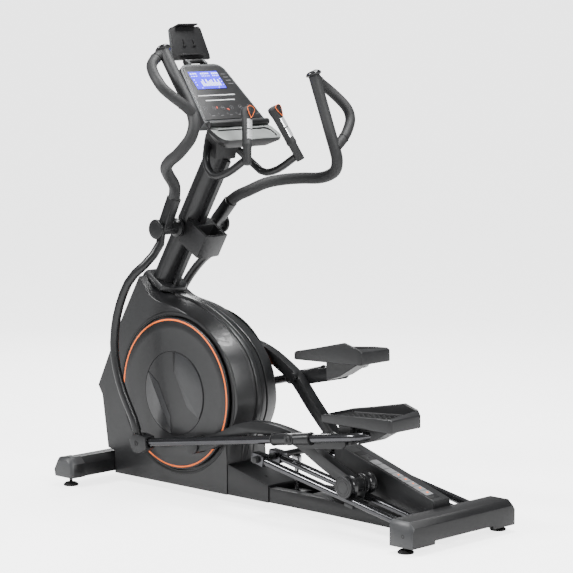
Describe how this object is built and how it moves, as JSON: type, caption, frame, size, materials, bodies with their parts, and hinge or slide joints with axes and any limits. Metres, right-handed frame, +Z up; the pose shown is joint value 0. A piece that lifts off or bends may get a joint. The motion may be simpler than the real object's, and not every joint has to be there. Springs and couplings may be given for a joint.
{
  "type": "elliptical trainer",
  "caption": "Front-drive elliptical trainer with swinging upright handles, roller arms on an inclined rail ramp, foot pedals, a mast with a console and a cup holder.",
  "frame": {"origin": "centre of the footprint, on the floor under the feet", "axes": "+X towards the user's end of the machine, +Z up, -Y the user's left"},
  "size_m": [1.715, 0.8111, 1.6978],
  "materials": {
    "frame_paint": "satin charcoal powder coat",
    "dark_steel": "dark polished",
    "steel": "machined",
    "iron": "turned",
    "plastic": "fine-grained satin",
    "dark_plastic": "matte",
    "foam": "soft foam",
    "rubber": "matte",
    "wheel": "glossy",
    "screen": "glossy membrane"
  },
  "bodies": {
    "frame": {"base_frame": "frame_paint", "front_stabilizer": "frame_paint", "rear_stabilizer": "plastic", "foot_front_left": "rubber", "foot_front_right": "rubber", "foot_rear_left": "rubber", "foot_rear_right": "rubber", "shroud_left": "plastic", "shroud_right": "plastic", "mast_collar": "plastic", "mast": "frame_paint", "pivot_axle": "frame_paint", "cup_holder": "plastic", "drive_belt": "rubber", "magnet_brake": "steel", "lift_motor": "dark_plastic", "ramp_cover": "plastic", "console_housing": "plastic", "console_screen": "screen", "console_tray": "plastic", "grip_bar": "frame_paint", "grip_left": "foam", "grip_right": "foam"},
    "crank": {"crank_axle": "steel", "crank_disc_left": "plastic", "crank_disc_right": "plastic", "drive_pulley": "dark_plastic"},
    "flywheel": {"flywheel": "iron"},
    "ramp": {"ramp_crossbar": "frame_paint", "lift_screw": "steel", "rail_inner_left": "dark_steel", "rail_outer_left": "dark_steel", "rail_inner_right": "dark_steel", "rail_outer_right": "dark_steel"},
    "tablet_holder": {"tablet_holder": "dark_plastic"},
    "tablet_clamp": {"tablet_clamp": "dark_plastic"},
    "swing_left": {"swing_arm_left": "frame_paint", "handlebar_left": "foam"},
    "knuckle_left": {"joint_cover_left": "plastic"},
    "pedal_link_left": {"pedal_arm_left": "dark_steel", "pedal_bracket_left": "frame_paint"},
    "pedal_left": {"pedal_left": "plastic"},
    "carriage_left": {"roller_carriage_left": "plastic"},
    "axle_left": {"roller_axle_left": "plastic"},
    "arm_left": {"curved_arm_left": "frame_paint"},
    "roller_inner_left": {"roller_inner_left": "wheel"},
    "roller_outer_left": {"roller_outer_left": "wheel"},
    "thumb_button_left": {"thumb_button_left": "dark_plastic"},
    "swing_right": {"swing_arm_right": "frame_paint", "handlebar_right": "foam"},
    "knuckle_right": {"joint_cover_right": "plastic"},
    "pedal_link_right": {"pedal_arm_right": "dark_steel", "pedal_bracket_right": "frame_paint"},
    "pedal_right": {"pedal_right": "plastic"},
    "carriage_right": {"roller_carriage_right": "plastic"},
    "axle_right": {"roller_axle_right": "plastic"},
    "arm_right": {"curved_arm_right": "frame_paint"},
    "roller_inner_right": {"roller_inner_right": "wheel"},
    "roller_outer_right": {"roller_outer_right": "wheel"},
    "thumb_button_right": {"thumb_button_right": "dark_plastic"}
  },
  "joints": [
    {"name": "crank_spin", "type": "hinge", "parent": "frame", "child": "crank", "pos_m": [-0.4145, 0, 0.37], "axis": [0, 1, 0], "continuous": true},
    {"name": "flywheel_spin", "type": "hinge", "parent": "frame", "child": "flywheel", "pos_m": [-0.6285, 0, 0.33], "axis": [0, 1, 0], "continuous": true},
    {"name": "incline", "type": "hinge", "parent": "frame", "child": "ramp", "pos_m": [0.7875, 0, 0.07005], "axis": [0, 1, 0], "range_deg": [-0.9, 2.6]},
    {"name": "stride", "type": "hinge", "parent": "frame", "child": "swing_left", "pos_m": [-0.4475, 0, 0.967], "axis": [0, 1, 0], "range_deg": [0, 20.5]},
    {"name": "knuckle_left_turn", "type": "hinge", "parent": "swing_left", "child": "knuckle_left", "pos_m": [-0.51572, 0, 0.18597], "axis": [0, 1, 0], "range_deg": [-26.65, 0]},
    {"name": "pedal_link_left_lift", "type": "hinge", "parent": "knuckle_left", "child": "pedal_link_left", "pos_m": [-0.51572, 0, 0.18597], "axis": [0, 1, 0], "range_deg": [-0.67, 0.23]},
    {"name": "pedal_left_tilt", "type": "hinge", "parent": "pedal_link_left", "child": "pedal_left", "pos_m": [0.45155, 0, 0.30978], "axis": [0, 1, 0], "range_deg": [-8, 0]},
    {"name": "carriage_left_roll", "type": "slide", "parent": "ramp", "child": "carriage_left", "axis": [0.9811, 0, -0.1936], "range_m": [-0.35809, 0]},
    {"name": "axle_left_lift", "type": "hinge", "parent": "carriage_left", "child": "axle_left", "pos_m": [0.49962, 0, 0.16843], "axis": [0, 1, 0], "range_deg": [-3.64, 1.26]},
    {"name": "arm_left_turn", "type": "hinge", "parent": "axle_left", "child": "arm_left", "pos_m": [0.49962, 0, 0.16843], "axis": [0, 1, 0], "range_deg": [0, 20.69]},
    {"name": "roller_inner_left_spin", "type": "hinge", "parent": "carriage_left", "child": "roller_inner_left", "pos_m": [0.49962, 0, 0.16843], "axis": [0, 1, 0], "range_deg": [-765.55, 0]},
    {"name": "roller_outer_left_spin", "type": "hinge", "parent": "carriage_left", "child": "roller_outer_left", "pos_m": [0.49962, 0, 0.16843], "axis": [0, 1, 0], "range_deg": [-765.55, 0]},
    {"name": "thumb_button_left_press", "type": "slide", "parent": "frame", "child": "thumb_button_left", "axis": [-0.8572, 0, -0.515], "range_m": [0, 0.001], "stiffness_N_per_m": 900, "springref_m": -0.0006},
    {"name": "swing_right_turn", "type": "hinge", "parent": "frame", "child": "swing_right", "pos_m": [-0.4475, 0, 0.967], "axis": [0, 1, 0], "range_deg": [-20.91, 0]},
    {"name": "knuckle_right_turn", "type": "hinge", "parent": "swing_right", "child": "knuckle_right", "pos_m": [-0.78603, 0, 0.25985], "axis": [0, 1, 0], "range_deg": [0, 26.65]},
    {"name": "pedal_link_right_lift", "type": "hinge", "parent": "knuckle_right", "child": "pedal_link_right", "pos_m": [-0.78603, 0, 0.25985], "axis": [0, 1, 0], "range_deg": [-1.64, 0.57]},
    {"name": "pedal_right_tilt", "type": "hinge", "parent": "pedal_link_right", "child": "pedal_right", "pos_m": [0.16434, 0, 0.47837], "axis": [0, 1, 0], "range_deg": [-8, 0]},
    {"name": "carriage_right_roll", "type": "slide", "parent": "ramp", "child": "carriage_right", "axis": [0.9811, 0, -0.1936], "range_m": [0, 0.35809]},
    {"name": "axle_right_lift", "type": "hinge", "parent": "carriage_right", "child": "axle_right", "pos_m": [0.15369, 0, 0.23668], "axis": [0, 1, 0], "range_deg": [-5.02, 1.74]},
    {"name": "arm_right_turn", "type": "hinge", "parent": "axle_right", "child": "arm_right", "pos_m": [0.15369, 0, 0.23668], "axis": [0, 1, 0], "range_deg": [-20.69, 0]},
    {"name": "roller_inner_right_spin", "type": "hinge", "parent": "carriage_right", "child": "roller_inner_right", "pos_m": [0.15369, 0, 0.23668], "axis": [0, 1, 0], "range_deg": [0, 765.55]},
    {"name": "roller_outer_right_spin", "type": "hinge", "parent": "carriage_right", "child": "roller_outer_right", "pos_m": [0.15369, 0, 0.23668], "axis": [0, 1, 0], "range_deg": [0, 765.55]},
    {"name": "thumb_button_right_press", "type": "slide", "parent": "frame", "child": "thumb_button_right", "axis": [-0.8572, 0, -0.515], "range_m": [0, 0.001], "stiffness_N_per_m": 900, "springref_m": -0.0006},
    {"name": "tablet_holder_tilt", "type": "hinge", "parent": "frame", "child": "tablet_holder", "pos_m": [-0.4215, 0, 1.562], "axis": [0, 1, 0], "range_deg": [-15, 8]},
    {"name": "tablet_clamp_slide", "type": "slide", "parent": "tablet_holder", "child": "tablet_clamp", "axis": [-0.3099, 0, 0.9508], "range_m": [0, 0.045], "stiffness_N_per_m": 60, "springref_m": -0.06}
  ],
  "couplings": [
    {"joint": "flywheel_spin", "follows": "crank_spin", "ratio": 8.7059},
    {"joint": "knuckle_left_turn", "follows": "stride", "ratio": -1.2746},
    {"joint": "pedal_link_left_lift", "follows": "incline", "ratio": -0.25367},
    {"joint": "carriage_left_roll", "follows": "stride", "m_per_rad": -0.98119},
    {"joint": "axle_left_lift", "follows": "incline", "ratio": -1.3733},
    {"joint": "arm_left_turn", "follows": "stride", "ratio": 0.98944},
    {"joint": "roller_inner_left_spin", "follows": "stride", "ratio": -36.612},
    {"joint": "roller_outer_left_spin", "follows": "stride", "ratio": -36.612},
    {"joint": "swing_right_turn", "follows": "stride", "ratio": -1},
    {"joint": "knuckle_right_turn", "follows": "stride", "ratio": 1.2746},
    {"joint": "pedal_link_right_lift", "follows": "incline", "ratio": -0.61856},
    {"joint": "carriage_right_roll", "follows": "stride", "m_per_rad": 0.98119},
    {"joint": "axle_right_lift", "follows": "incline", "ratio": -1.8914},
    {"joint": "arm_right_turn", "follows": "stride", "ratio": -0.98944},
    {"joint": "roller_inner_right_spin", "follows": "stride", "ratio": 36.612},
    {"joint": "roller_outer_right_spin", "follows": "stride", "ratio": 36.612}
  ]
}
